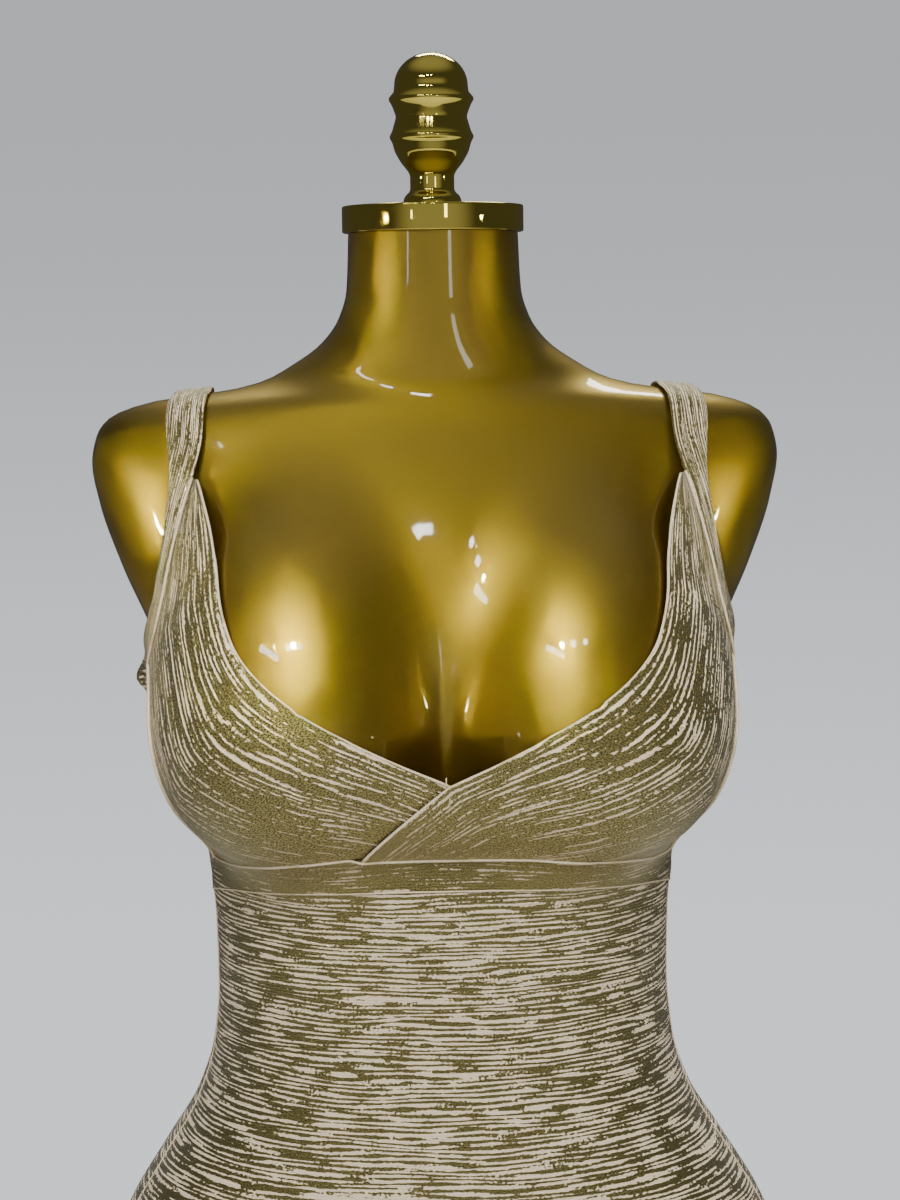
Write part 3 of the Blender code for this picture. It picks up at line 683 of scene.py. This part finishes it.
@made_once("foiled knit")
def cloth_material(tree, shader):
    """Pale stretch knit under brushed streaks of metallic foil, which the knit's loops break up."""
    settings = bpy.context.scene.dress_cloth
    flat = add_node(tree, "UVMap", uv_map=GRAIN_MAP).outputs["UV"]
    level = add_node(tree, "SeparateXYZ", {0: flat}).outputs["Y"]
    grain = streaks(tree, flat, 1500.0, 1300.0, 1.0)
    share = add_node(tree, "Attribute", attribute_name=BARE_SHARE).outputs["Fac"]

    # Lines of bare knit a few millimetres apart, which wander, swell, break off and run together
    wander = reckon(tree, "MULTIPLY", streaks(tree, flat, 9.0, 95.0, 1.0), 15.0)
    lines = reckon(tree, "COSINE", reckon(tree, "MULTIPLY_ADD", level, 2300.0, wander))
    marks = (
        (lines, 0.22), (streaks(tree, flat, 40.0, 560.0, 1.0), 0.85),
        (streaks(tree, flat, 34.0, 130.0, 3.0, 0.6), 0.80),
        (streaks(tree, flat, 450.0, 700.0, 1.0), 0.55), (share, 0.50),
    )
    # The bare share adds in as well; on the front panel it holds a painted highlight down the middle
    wear_and_highlight = 0.0
    for mark, weight in marks:
        wear_and_highlight = reckon(tree, "MULTIPLY_ADD", mark, weight, wear_and_highlight)
    foil = reckon(tree, "SUBTRACT", 1.0, rise(tree, wear_and_highlight, 1.44, 1.49))

    # The knit's loops show as fine flecks, and the bare knit is duller where little of it shows
    fleck = rise(tree, grain, 0.38, 0.62)
    freckled = reckon(tree, "MULTIPLY_ADD", fleck, 0.5, 0.5)
    clean = reckon(tree, "MULTIPLY", rise(tree, share, 0.05, 0.45), freckled)
    pale = mix_color(tree, clean, settings.shade_color, settings.knit_color)
    dark = mix_color(tree, fleck, settings.foil_dark, settings.foil_color)
    courses = add_node(
        tree, "TexWave", {"Vector": flat, "Scale": 190.0, "Distortion": 0.6, "Detail": 1.0},
        wave_type="BANDS", bands_direction="Y",
    ).outputs[1]
    loops = reckon(tree, "MULTIPLY_ADD", grain, 1.8, reckon(tree, "MULTIPLY", courses, 0.6))
    set_inputs(tree, shader, {
        "Base Color": mix_color(tree, foil, pale, dark),
        "Metallic": reckon(tree, "MULTIPLY", foil, reckon(tree, "MULTIPLY_ADD", fleck, 0.30, 0.65)),
        "Roughness": reckon(tree, "MULTIPLY_ADD", foil, -0.44, 0.80),
        "Normal": relief(tree, reckon(tree, "MULTIPLY_ADD", foil, 0.5, loops), 0.8, 0.0003),
        "Sheen Weight": 0.12,
        "Sheen Roughness": 0.4,
    })


@made_once("pale seam thread")
def seam_material(tree, shader):
    """Pale corded edging with a fine twist of thread and a little foil rubbed on to it."""
    settings = bpy.context.scene.dress_cloth
    flat = add_node(tree, "UVMap", uv_map=GRAIN_MAP).outputs["UV"]
    twist = streaks(tree, flat, 900.0, 400.0)
    thread = mix_color(tree, twist, settings.shade_color, settings.seam_color)
    rubbed = rise(tree, streaks(tree, flat, 60.0, 300.0), 0.55, 0.68)
    rubbed = reckon(tree, "MULTIPLY", rubbed, 0.55)
    set_inputs(tree, shader, {
        "Base Color": mix_color(tree, rubbed, thread, settings.foil_color),
        "Roughness": 0.62,
        "Normal": relief(tree, twist, 0.5, 0.0002),
    })


@made_once("gold lacquer")
def lacquer_material(tree, shader):
    """Deep gold metallic paint under a hard clear coat with a faint ripple."""
    settings = bpy.context.scene.dress_form
    cloud, fleck = clouds(tree, 14.0, 3.0), clouds(tree, 2600.0, 1.0)
    share = reckon(tree, "MULTIPLY_ADD", fleck, 0.5, reckon(tree, "MULTIPLY", cloud, 0.5))
    set_inputs(tree, shader, {
        "Base Color": mix_color(tree, share, settings.lacquer_dark, settings.lacquer_color),
        "Metallic": 1.0,
        "Roughness": reckon(tree, "MULTIPLY_ADD", cloud, 0.10, 0.39),
        "Normal": relief(tree, fleck, 0.12, 0.0001),
        "Coat Weight": 1.0,
        "Coat Roughness": 0.035,
        "Coat IOR": 1.55,
        "Coat Normal": relief(tree, clouds(tree, 55.0, 2.0), 0.10, 0.0004),
    })


@made_once("gold plating")
def plating_material(tree, shader):
    """Mirror-bright yellow gold plating with faint smudges."""
    smudge = rise(tree, clouds(tree, 60.0, 4.0), 0.45, 0.75)
    set_inputs(tree, shader, {
        "Base Color": (*bpy.context.scene.dress_form.plating_color, 1.0),
        "Metallic": 1.0,
        "Roughness": reckon(tree, "MULTIPLY_ADD", smudge, 0.10, 0.035),
    })


@made_once("pale floor")
def floor_material(tree, shader):
    """Plain pale floor with a very faint mottle."""
    pale = bpy.context.scene.dress_stage.floor_color
    low = [0.94 * channel for channel in pale]
    set_inputs(tree, shader, {
        "Base Color": mix_color(tree, clouds(tree, 3.0, 4.0), low, pale),
        "Roughness": 0.6,
    })


# The dress

def make_front_body():
    """The front panel, from side seam to side seam and from the underbust band to the hem."""
    top = BAND_LINE[0][1]
    across = np.linspace(-SIDE_ANGLE, SIDE_ANGLE, 121)[None, :]
    level = np.linspace(HEM, top, 165)[:, None]
    shaping = ease(top - SHAPED_TOP, top, level)
    height = level + shaping * (band_height(np.abs(across)) - SEAM_GAP - top)
    points, normals = on_cloth(across, height)
    grain = grain_round(across + 0 * height, height, 3.0)

    # More knit shows down the middle, short of the band, as a painted highlight where the front light
    # falls most; more also shows from the waist down over the hips
    bare = 0.48 + 0.24 * np.exp(-(across / 38) ** 2) * (1 - ease(top - 0.012, top, height))
    bare += 0.10 * ease(1.000, 0.880, height)
    item = add_cloth("front_body", points, normals, LIFT, grain, bare)


def make_underbust_band():
    """The narrow band between the front panel and the cups."""
    along = np.linspace(0, 1, 13)[:, None]
    share = np.linspace(-1, 1, 121)[None, :]
    degrees = band_end_spot(1 - along)[0] * share
    top = under_height(np.abs(degrees)) - FOLD_GAP
    height = mix(band_height(np.abs(degrees)), top, along)
    points, normals = on_cloth(degrees, height)
    grain = grain_round(degrees, height, 5.0)
    item = add_cloth("underbust_band", points, normals, LIFT + BAND_LIFT, grain, BAND_BARE)


def make_back_body():
    """The back panel, which wraps forward to the side seams and up to the cups and straps."""
    low_corner, high_corner = BAND_END[-1][1], BACK_EDGE[0][1]
    body = np.linspace(HEM, low_corner, 160)[:-1]
    up = np.linspace(1, 0, 9)[:-1]
    band, side = band_end_spot(up), side_seam_spot(np.linspace(1, 0, 61))
    edge = np.concatenate((np.full(len(body), SIDE_ANGLE), band[0], side[0]))[:, None] + SIDE_GAP
    level = np.concatenate((body, band[1], side[1]))[:, None]

    # The columns stand closer together near the side seams, where the gathers are
    crowded = smooth_curve((0, 0.2, 0.8, 1), (0, 0.08, 0.92, 1))(np.linspace(0, 1, 181))
    degrees = mix(edge, 360 - edge, crowded[None, :])
    share = np.maximum(level - low_corner, 0.0) / (high_corner - low_corner)
    rising = back_height(np.minimum(degrees, 360 - degrees)) - high_corner
    height = level + rising * share
    points, normals = on_cloth(degrees, height)
    for tuck in TUCKS:
        across, up = (degrees - tuck.degrees) / TUCK_WIDTH, (height - tuck.height) / TUCK_HEIGHT
        pleats = 1 - PLEAT_DEPTH * np.sin(np.pi * (degrees - tuck.degrees) / PLEAT_PITCH) ** 2
        points += normals * (tuck.out * pleats * np.exp(-across ** 2 - up ** 2))[..., None]
    grain = grain_round(degrees, height, 7.0)
    item = add_cloth("back_body", points, normals, LIFT, grain, BACK_BARE)


def cup_edges(row):
    """Angle and height of the cup's inner and outer edges, for rows counted down from the strap."""
    strap = strap_seam_spot(np.clip(row / STRAP_SEAM_ROWS, 0, 1))
    side = side_seam_spot(np.clip((row - STRAP_SEAM_ROWS) / SIDE_SEAM_ROWS, 0, 1))
    share = np.clip((row - STRAP_SEAM_ROWS - SIDE_SEAM_ROWS) / UNDER_SEAM_ROWS, 0, 1)
    under_degrees = mix(SIDE_SEAM[-1][0], CROSSING[-1][0], share)
    under = (under_degrees, under_height(np.abs(under_degrees)))
    on_strap = row <= STRAP_SEAM_ROWS
    on_side = row <= STRAP_SEAM_ROWS + SIDE_SEAM_ROWS
    outer = [np.where(on_strap, a, np.where(on_side, b, c)) for a, b, c in zip(strap, side, under)]
    neck_rows = CUP_ROWS - CROSSING_ROWS
    neck = neckline_spot(np.clip(row / neck_rows, 0, 1))
    crossing = crossing_spot(np.clip((row - neck_rows) / CROSSING_ROWS, 0, 1))
    inner = [np.where(row <= neck_rows, a, b) for a, b in zip(neck, crossing)]
    return inner, outer


def make_cup(name, side, crossing_lift):
    """One cup, from the strap's foot to past the centre. The upper one of the two is lifted."""
    row = np.linspace(0, CUP_ROWS, 4 * CUP_ROWS + 1)[:, None]
    inner, outer = cup_edges(row)
    across = np.linspace(0, 1, 45)[None, :]
    degrees = mix(inner[0], outer[0], across)
    height = mix(inner[1], outer[1], across)
    points, normals = on_cloth(degrees, height)
    lift = LIFT + crossing_lift * ease(*CROSSING_RAMP, degrees)

    # The streaks fan out with the cup's width, but not near its foot, and the foil is whole there
    grain = grain_along(points, 9.0 + side)
    widths = grain[:, -1:, 1] - grain[:, :1, 1]
    fanned = 0.55 * (1 - ease(0.68, 0.90, row / CUP_ROWS))
    grain[..., 1] = mix(grain[..., 1], grain[:, :1, 1] + across * widths.mean(), fanned)
    bare = mix(*CUP_BARE, ease(1.155, 1.105, height))
    item = add_cloth(name, points, normals, lift, grain, bare, side)


def make_cups():
    make_cup("cup_left", 1, CROSSING_LIFT)
    make_cup("cup_right", -1, 0.0)


def strap_edges():
    """The strap's inner and outer edges as one path, from the underarm over to the back."""
    t = np.linspace(1, 0, STRAP_SEAM_ROWS + 1)
    inner, outer = strap_seam_spot(t), strap_outer_spot(t)
    inner = on_cloth(inner[0] + STRAP_GAP, inner[1])[0]
    front = np.concatenate((inner, on_cloth(*outer)[0]), axis=1)
    return by_row([*front, *STRAP_OVER])


def make_strap(name, side):
    """A strap, from the underarm up the cup's outer side and over the shoulder to the back."""
    last = STRAP_SEAM_ROWS + len(STRAP_OVER)
    row = np.linspace(0, STRAP_SEAM_ROWS + STRAP_OVER_ROWS, 151)
    over = mix(STRAP_SEAM_ROWS, last, (row - STRAP_SEAM_ROWS) / STRAP_OVER_ROWS)
    station = np.where(row > STRAP_SEAM_ROWS, over, row) / last
    edge = np.stack(strap_edges()(station), -1)[:, None, :]
    across = np.linspace(0, 1, 15)[None, :, None]
    points, normals = settled(mix(edge[..., :3], edge[..., 3:], across))
    grain = grain_along(points, 12.0 + side) * (1.0, STRAP_FINENESS)
    lift = LIFT + BAND_LIFT
    item = add_cloth(name, points, normals, lift, grain, STRAP_BARE, side, turned=0.6)


def make_straps():
    make_strap("strap_left", 1)
    make_strap("strap_right", -1)


def seam_path(degrees, height, lift, side=1):
    """A seam's points and normals, lifted off the cloth's underlying surface."""
    points, normals = on_cloth(degrees, height)
    lift = np.broadcast_to(lift, np.shape(points)[:1])[:, None]
    return mirrored(points + normals * lift, side), mirrored(normals, side)


def make_seams():
    """The pale corded seams: necklines, cup seams, straps' seams, side seams, band and back edge."""
    t = np.linspace(0, 1, 400)
    face, middle = LIFT + WALL, LIFT + WALL / 2
    half = bpy.context.scene.dress_cloth.seam_width / 2
    edge = cup_edges(t * CUP_ROWS)[0]

    # The right neckline's cord ends under the left cup
    for name, side, crossing_lift, reach in (
        ("left", 1, CROSSING_LIFT, 1.0), ("right", -1, 0.0, NECKLINE_SHOWN),
    ):
        cup = "cup_" + name
        shown = t <= reach
        lift = middle + crossing_lift * ease(*CROSSING_RAMP, edge[0])
        path = seam_path(edge[0][shown], edge[1][shown], lift[shown], side)
        add_seam("neckline_edge_" + name, cup, *path, half, EDGE_HALF_HEIGHT)
        path = seam_path(*strap_seam_spot(t), face + BAND_LIFT, side)
        add_seam("strap_seam_" + name, "strap_" + name, *path, half, half)
        degrees, level = side_seam_spot(t)
        path = seam_path(degrees + CUP_CORD_ASIDE, level, face + SIDE_CORD_LIFT, side)
        add_seam("cup_side_seam_" + name, cup, *path, STOUT * half, STOUT * half)
        degrees, level = band_end_spot(t)
        skirt = np.linspace(level[-1], HEM, 400)[1:]
        degrees = np.concatenate((degrees, np.full(len(skirt), SIDE_ANGLE))) + SKIRT_CORD_ASIDE
        path = seam_path(degrees, np.concatenate((level, skirt)), face, side)
        add_seam("side_seam_" + name, "front_body", *path, SLIM * half, FLAT * half)

    # The cord below the cups steps up where the left cup lies over the right one
    span = np.linspace(-SIDE_SEAM[-1][0], SIDE_SEAM[-1][0], 600)
    over = ease(*CROSSING_RAMP, span) * ease(*LAP_END, span)
    lift = face + BAND_LIFT / 2 + CROSSING_LIFT * over
    path = seam_path(span, under_height(np.abs(span)) - FOLD_GAP / 2, lift)
    add_seam("cup_seam_below", "underbust_band", *path, half, half)
    span = np.linspace(-SIDE_ANGLE, SIDE_ANGLE, 600)
    path = seam_path(span, band_height(np.abs(span)), face + BAND_LIFT)
    add_seam("band_seam", "underbust_band", *path, FLAT * half, FLAT * half)
    span = np.linspace(BACK_EDGE[0][0], 360 - BACK_EDGE[0][0], 900)
    path = seam_path(span, back_height(np.minimum(span, 360 - span)), middle)
    add_seam("back_edge", "back_body", *path, half, EDGE_HALF_HEIGHT)
    span = np.linspace(0, 360, 1200)
    path = seam_path(span, 0 * span + HEM, middle)
    add_seam("hem_edge", "front_body", *path, half, EDGE_HALF_HEIGHT)
    for thread in THREAD_ENDS:
        t = np.linspace(0, 1, 24)
        curl = np.sin(np.pi * t)
        degrees = mix(thread.from_degrees, thread.to_degrees, t) + THREAD_BEND * curl
        height = mix(thread.from_height, thread.to_height, t)
        lift = face + CROSSING_LIFT + THREAD_LIFT + THREAD_CURL * curl
        path = seam_path(degrees, height, lift)
        add_seam(thread.name, thread.node, *path, THREAD_HALF_WIDTH, THREAD_HALF_WIDTH)


# The form and its stand

def make_form():
    """The smooth, lacquered torso, whole under the dress."""
    heights = np.linspace(FORM_BOTTOM + FORM_ROUND, FORM_TOP, 230)
    corner = np.linspace(0, np.pi / 2, 12)[:-1]
    level = np.concatenate((FORM_BOTTOM + FORM_ROUND * (1 - np.cos(corner)), heights))[:, None]
    drawn = np.concatenate((FORM_ROUND * (1 - np.sin(corner)), 0 * heights))[:, None] + FORM_EASE
    angle = np.radians(np.linspace(0, 360, 181)[:-1])[None, :]
    points = surface_points(form_gap, angle, level)
    radius = np.linalg.norm(points[..., :2], axis=-1)
    points[..., :2] *= (1 - drawn / radius)[..., None]
    faces = tube_faces(*points.shape[:2])
    item = add_mesh("form_shell", points, faces, lacquer_material())
    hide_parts("form_torso")


def rounded(corners, radius, steps=6):
    """The corners of a profile turned into small arcs. The first and the last stay as they are."""
    corners = np.array(corners, float)
    rows = [corners[0]]
    for before, corner, after in zip(corners, corners[1:], corners[2:]):
        back, ahead = before - corner, after - corner
        reach = min(radius, np.linalg.norm(back) / 2, np.linalg.norm(ahead) / 2)
        start = corner + back / np.linalg.norm(back) * reach
        end = corner + ahead / np.linalg.norm(ahead) * reach
        for t in np.linspace(0, 1, steps):
            rows.append((1 - t) ** 2 * start + 2 * t * (1 - t) * corner + t * t * end)
    rows.append(corners[-1])
    return rows


def make_cap_and_finial():
    """The round neck cap, with eased rims, and the turned finial on it."""
    low = FORM_TOP + FIT_GAP
    high = low + CAP_HEIGHT
    corners = ((0.0, high), (CAP_RADIUS, high), (CAP_RADIUS, low), (0.0, low))
    add_turned("neck_cap_plated", "neck_cap", rounded(corners, CAP_ROUND), 160)
    foot = high + FIT_GAP
    dome_foot, dome_radius = FINIAL[-1]
    turn = np.linspace(0, np.pi / 2, 24)
    dome = np.stack((
        dome_radius * np.sin(turn), foot + dome_foot + (FINIAL_HEIGHT - dome_foot) * np.cos(turn),
    ), -1)
    corners = [(radius, foot + height) for height, radius in reversed(FINIAL[:-1])] + [(0.0, foot)]
    add_turned("finial_plated", "finial", [*dome, *rounded(corners, FINIAL_ROUND)], 128)


def make_stand():
    """The socket under the form, the pole and the round base, each with eased rims."""
    for name, node, easing in (
        ("socket", "form_socket", 0.0015), ("pole", "pole", 0.0008), ("base", "base_plate", 0.004),
    ):
        low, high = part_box(node)
        radius, flange = high.x, high.z - FLANGE_HEIGHT
        corners = {
            "socket": (
                (0.0, high.z), (radius, high.z), (radius, flange), (SOCKET_RADIUS, flange),
                (SOCKET_RADIUS, low.z), (0.0, low.z),
            ),
            "pole": ((0.0, high.z), (radius, high.z), (radius, low.z), (0.0, low.z)),
            "base": (*BASE_COVER, (radius, BASE_RIM), (radius, 0.0), (0.0, 0.0)),
        }[name]
        add_turned(name + "_plated", node, rounded(corners, easing), 160)


# The stage

def make_lights():
    """A row of ceiling strips in front, dim lamps beside the camera, and soft light all round."""
    power = bpy.context.scene.dress_stage.light_power
    for lamp in LAMPS:
        light = bpy.data.lights.new(lamp.name, "AREA")
        light.shape = "RECTANGLE"
        light.size, light.size_y = lamp.width, lamp.height
        light.spread = math.radians(lamp.beam)
        light.energy = lamp.watts * power
        if lamp.beam < WIDE_BEAM:
            light.color = GRID_COLOR
        item = add_object(lamp.name, light)
        item.location = Vector((lamp.x, lamp.y, lamp.z))
        aim = Vector((lamp.aim_x, AIM_Y, lamp.aim_z))
        item.rotation_euler = (aim - item.location).to_track_quat("-Z", "Y").to_euler()
        item.visible_camera = False
        item.visible_glossy = lamp.mirrored


def make_floor():
    """A round floor just under the stand."""
    turn = np.linspace(0, 2 * np.pi, FLOOR_SIDES, endpoint=False)
    level = np.full(FLOOR_SIDES, FLOOR_HEIGHT)
    points = np.stack((FLOOR_RADIUS * np.cos(turn), FLOOR_RADIUS * np.sin(turn), level), -1)
    mesh = bpy.data.meshes.new("floor")
    mesh.from_pydata(points.tolist(), [], [list(range(FLOOR_SIDES))])
    mesh.materials.append(floor_material())
    add_object("floor", mesh)


def make_camera():
    """The camera, turned to its heading, tilted by its pitch and then rolled."""
    azimuth, heading, pitch, roll = map(
        math.radians, (CAMERA_AZIMUTH, CAMERA_HEADING, CAMERA_PITCH, CAMERA_ROLL),
    )
    ahead = Vector((
        math.sin(heading) * math.cos(pitch), math.cos(heading) * math.cos(pitch), math.sin(pitch),
    ))
    level = Vector((math.cos(heading), -math.sin(heading), 0.0))
    up = level.cross(ahead)
    right = math.cos(roll) * level + math.sin(roll) * up
    top = math.cos(roll) * up - math.sin(roll) * level
    camera = add_object("camera", bpy.data.cameras.new("camera"))
    camera.data.lens = CAMERA_LENS
    turned = Matrix((right, top, -ahead)).transposed().to_4x4()
    turned.translation = (
        CAMERA_DISTANCE * math.sin(azimuth), -CAMERA_DISTANCE * math.cos(azimuth), CAMERA_HEIGHT,
    )
    camera.matrix_world = turned
    bpy.context.scene.camera = camera


def make_world():
    """A plain pale surround. What is seen in the gold is darker, with a bright ceiling."""
    settings = bpy.context.scene.dress_stage
    world = bpy.data.worlds.new("pale room")
    bpy.context.scene.world = world
    world.use_nodes = True
    tree = world.node_tree
    tree.nodes.clear()
    place = add_node(tree, "TexCoord").outputs["Generated"]
    split = add_node(tree, "SeparateXYZ", {0: place})
    ceiling = rise(tree, split.outputs["Z"], 0.60, 1.0)
    ahead = rise(tree, split.outputs["Y"], -0.55, -0.95)
    level = rise(tree, split.outputs["Z"], 0.50, 0.20)
    glow = reckon(tree, "MAXIMUM", ceiling, reckon(tree, "MULTIPLY", ahead, level))
    room = mix_color(tree, glow, settings.room_dark, settings.room_color)
    low = rise(tree, split.outputs["Z"], 0.10, -0.30)
    wall = mix_color(tree, low, settings.wall_shade, settings.wall_color)
    seen = add_node(tree, "LightPath").outputs["Is Camera Ray"]
    color = mix_color(tree, seen, room, wall)
    surround = add_node(tree, "Background", {"Color": color, "Strength": 1.0})
    add_node(tree, "OutputWorld", {"Surface": surround.outputs[0]}, is_active_output=True)


def make_stage():
    """The floor, the surround, the soft studio lights and the camera."""
    make_floor()
    make_world()
    make_camera()
    make_lights()


# Settings, operators and the panel

def color_setting(name, description, default):
    return bpy.props.FloatVectorProperty(
        name=name, description=description, default=default, size=3, min=0.0, max=1.0,
        subtype="COLOR",
    )


class DressCloth(bpy.types.PropertyGroup):
    """Colours and sizes of the knit and its seams."""
    knit_color: color_setting("Knit", "Colour of the bare knit", (0.97, 0.80, 0.55))
    shade_color: color_setting("Knit shade", "Colour between the knit's loops", (0.78, 0.61, 0.40))
    foil_color: color_setting("Foil", "Colour of the metallic foil", (0.51, 0.435, 0.16))
    foil_dark: color_setting("Foil shade", "Colour of the foil between the loops", (0.12, 0.10, 0.03))
    seam_color: color_setting("Seam", "Colour of the seams", (0.95, 0.83, 0.60))
    seam_width: bpy.props.FloatProperty(
        name="Seam width", description="Width of the corded seams", default=0.0014,
        min=0.0006, max=0.004, unit="LENGTH",
    )


class DressForm(bpy.types.PropertyGroup):
    """Colours of the form and its fittings."""
    lacquer_color: color_setting("Lacquer", "Colour of the form's lacquer", (0.66, 0.46, 0.045))
    lacquer_dark: color_setting("Lacquer depth", "Darker tone in the lacquer", (0.50, 0.34, 0.025))
    plating_color: color_setting("Plating", "Colour of the gold plating", (0.96, 0.78, 0.15))


class DressStage(bpy.types.PropertyGroup):
    """Light and surroundings."""
    wall_color: color_setting("Surround", "Pale colour of the surround", (0.94, 0.97, 1.0))
    wall_shade: color_setting("Surround shade", "Its darker top", (0.50, 0.52, 0.54))
    room_color: color_setting("Room", "Ceiling and front of the room in the gold", (0.26, 0.26, 0.26))
    room_dark: color_setting("Room shade", "Sides of the room in the gold", (0.05, 0.05, 0.05))
    floor_color: color_setting("Floor", "Colour of the floor", (0.68, 0.68, 0.68))
    light_power: bpy.props.FloatProperty(
        name="Light", description="Strength of all the lights together", default=1.0,
        min=0.0, max=10.0, subtype="FACTOR",
    )


def operator_for(make, label, description):
    """The operator class that calls a make function. Its name is that function's."""
    name = make.__name__.removeprefix("make_")

    def execute(self, context):
        make()
        return {"FINISHED"}

    return type("DRESS_OT_" + name, (bpy.types.Operator,), {
        "bl_idname": "dress." + name, "bl_label": label, "__doc__": description, "execute": execute,
    })


OPERATORS = [operator_for(*row) for row in (
    (make_front_body, "Front panel", "Make the front panel"),
    (make_back_body, "Back panel", "Make the back panel"),
    (make_underbust_band, "Underbust band", "Make the underbust band"),
    (make_cups, "Crossed cups", "Make the two crossed cups"),
    (make_straps, "Straps", "Make the two straps"),
    (make_seams, "Seams", "Make the corded seams and edges"),
    (make_form, "Display form", "Make the lacquered torso"),
    (make_cap_and_finial, "Neck cap and finial", "Make the neck cap and its finial"),
    (make_stand, "Stand", "Make the socket, the pole and the base"),
    (make_stage, "Stage", "Make the floor, the lights and the camera"),
)]
GROUPS = {"dress_cloth": DressCloth, "dress_form": DressForm, "dress_stage": DressStage}


class DRESS_PT_panel(bpy.types.Panel):
    """The dress's settings and operators, in the 3D view's sidebar"""
    bl_idname = "DRESS_PT_panel"
    bl_label = "Dress on a form"
    bl_space_type = "VIEW_3D"
    bl_region_type = "UI"
    bl_category = "Dress"

    def draw(self, context):
        for name, group in GROUPS.items():
            box = self.layout.box()
            for setting in group.__annotations__:
                box.prop(getattr(context.scene, name), setting)
        for operator in OPERATORS:
            self.layout.operator(operator.bl_idname)


def register():
    for item in (*GROUPS.values(), *OPERATORS, DRESS_PT_panel):
        bpy.utils.register_class(item)
    for name, group in GROUPS.items():
        setattr(bpy.types.Scene, name, bpy.props.PointerProperty(type=group))


def unregister():
    for name in GROUPS:
        delattr(bpy.types.Scene, name)
    for item in (DRESS_PT_panel, *reversed(OPERATORS), *reversed(list(GROUPS.values()))):
        bpy.utils.unregister_class(item)


def main():
    register()
    for operator in OPERATORS:
        getattr(bpy.ops.dress, operator.bl_idname.split(".")[1])()


if __name__ == "__main__":
    main()
